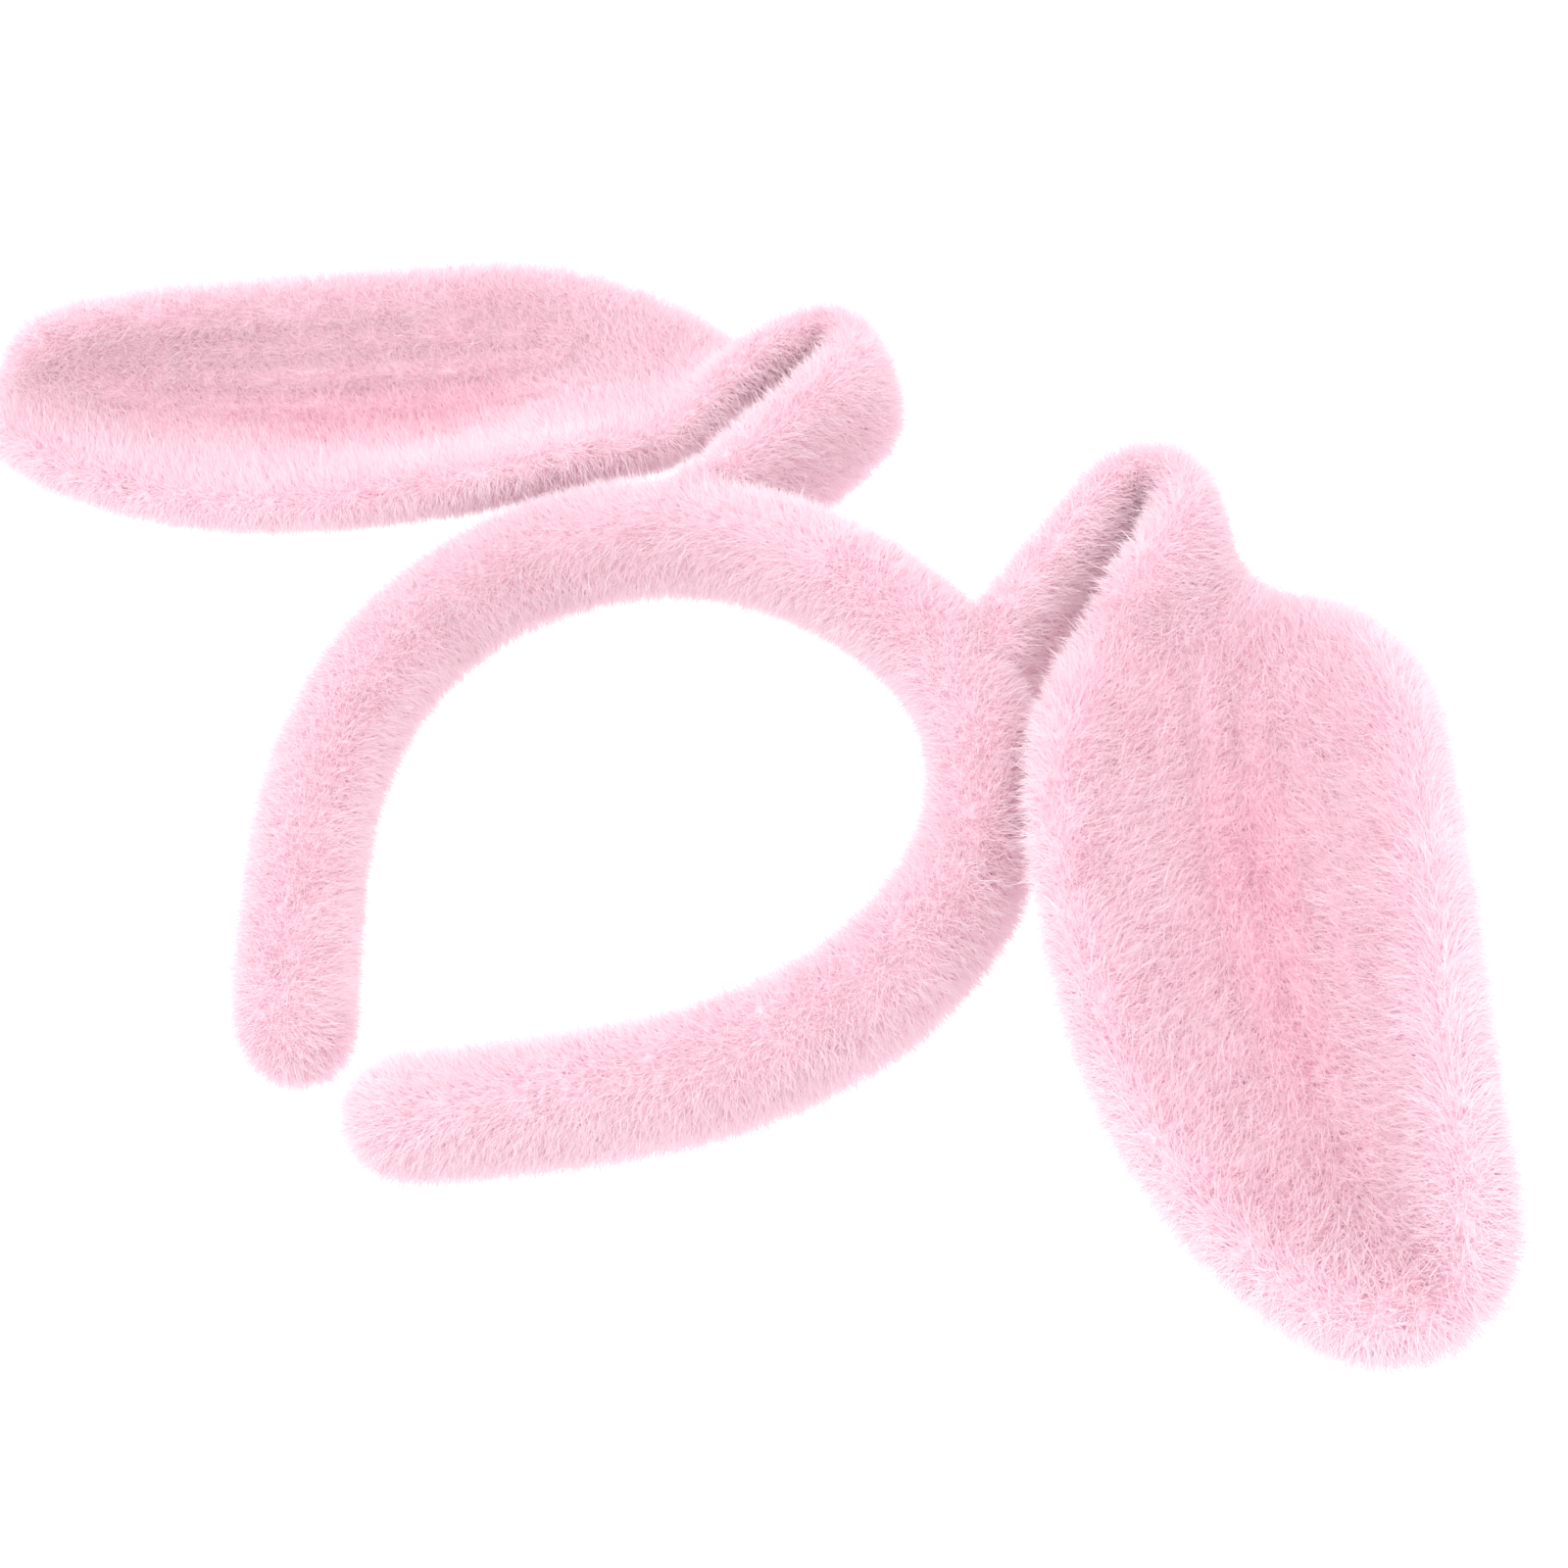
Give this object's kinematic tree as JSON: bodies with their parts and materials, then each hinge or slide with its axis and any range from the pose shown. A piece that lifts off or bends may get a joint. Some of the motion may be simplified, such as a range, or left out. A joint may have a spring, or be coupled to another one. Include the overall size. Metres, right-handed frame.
{
  "type": "animal ears headband",
  "caption": "Plush-covered sprung headband with two folded, bendable rabbit ears for costume wear.",
  "frame": {"origin": "middle of the inner face at the crown, where the head touches the band", "axes": "+Z away from the head at the crown, +X towards the wearer's left ear, -Y towards the wearer's front"},
  "size_m": [0.36, 0.0582, 0.1879],
  "materials": {
    "plush": "long soft pile, matt with a slight sheen",
    "foam": "open-cell sponge",
    "wadding": "loose polyester fibre",
    "strip": "moulded, satin",
    "wire": "drawn, dull",
    "thread": "twisted polyester"
  },
  "bodies": {
    "crown": {"crown_strip": "strip", "crown_foam": "foam", "crown_sleeve": "plush", "crown_seam": "thread", "left_ear_hem": "plush", "right_ear_hem": "plush"},
    "left_arm": {"left_arm_strip": "strip", "left_arm_foam": "foam", "left_arm_sleeve": "plush", "left_arm_seam": "thread"},
    "left_ear_root": {"left_root_front": "plush", "left_root_back": "plush", "left_root_wadding": "wadding", "left_root_wire": "wire", "left_root_seam": "thread"},
    "left_ear_flap": {"left_flap_front": "plush", "left_flap_back": "plush", "left_flap_wadding": "wadding", "left_flap_wire": "wire", "left_flap_seam": "thread"},
    "right_arm": {"right_arm_strip": "strip", "right_arm_foam": "foam", "right_arm_sleeve": "plush", "right_arm_seam": "thread"},
    "right_ear_root": {"right_root_front": "plush", "right_root_back": "plush", "right_root_wadding": "wadding", "right_root_wire": "wire", "right_root_seam": "thread"},
    "right_ear_flap": {"right_flap_front": "plush", "right_flap_back": "plush", "right_flap_wadding": "wadding", "right_flap_wire": "wire", "right_flap_seam": "thread"}
  },
  "joints": [
    {"name": "left_arm_flex", "type": "hinge", "parent": "crown", "child": "left_arm", "pos_m": [0.05998, 0, -0.02302], "axis": [0, -1, 0], "range_deg": [-3, 12], "stiffness_Nm_per_rad": 0.5},
    {"name": "left_ear_lean", "type": "hinge", "parent": "crown", "child": "left_ear_root", "pos_m": [0.0375, 0.004, 0.00605], "axis": [0, 1, 0], "range_deg": [-12, 10]},
    {"name": "left_ear_fold", "type": "hinge", "parent": "left_ear_root", "child": "left_ear_flap", "pos_m": [0.03865, 0.004, 0.05275], "axis": [0, -1, 0], "range_deg": [-3, 105]},
    {"name": "right_arm_flex", "type": "hinge", "parent": "crown", "child": "right_arm", "pos_m": [-0.05998, 0, -0.02302], "axis": [0, 1, 0], "range_deg": [-3, 12], "stiffness_Nm_per_rad": 0.5},
    {"name": "right_ear_lean", "type": "hinge", "parent": "crown", "child": "right_ear_root", "pos_m": [-0.0375, 0.004, 0.00605], "axis": [0, -1, 0], "range_deg": [-12, 10]},
    {"name": "right_ear_fold", "type": "hinge", "parent": "right_ear_root", "child": "right_ear_flap", "pos_m": [-0.03865, 0.004, 0.05275], "axis": [0, 1, 0], "range_deg": [-3, 105]}
  ]
}
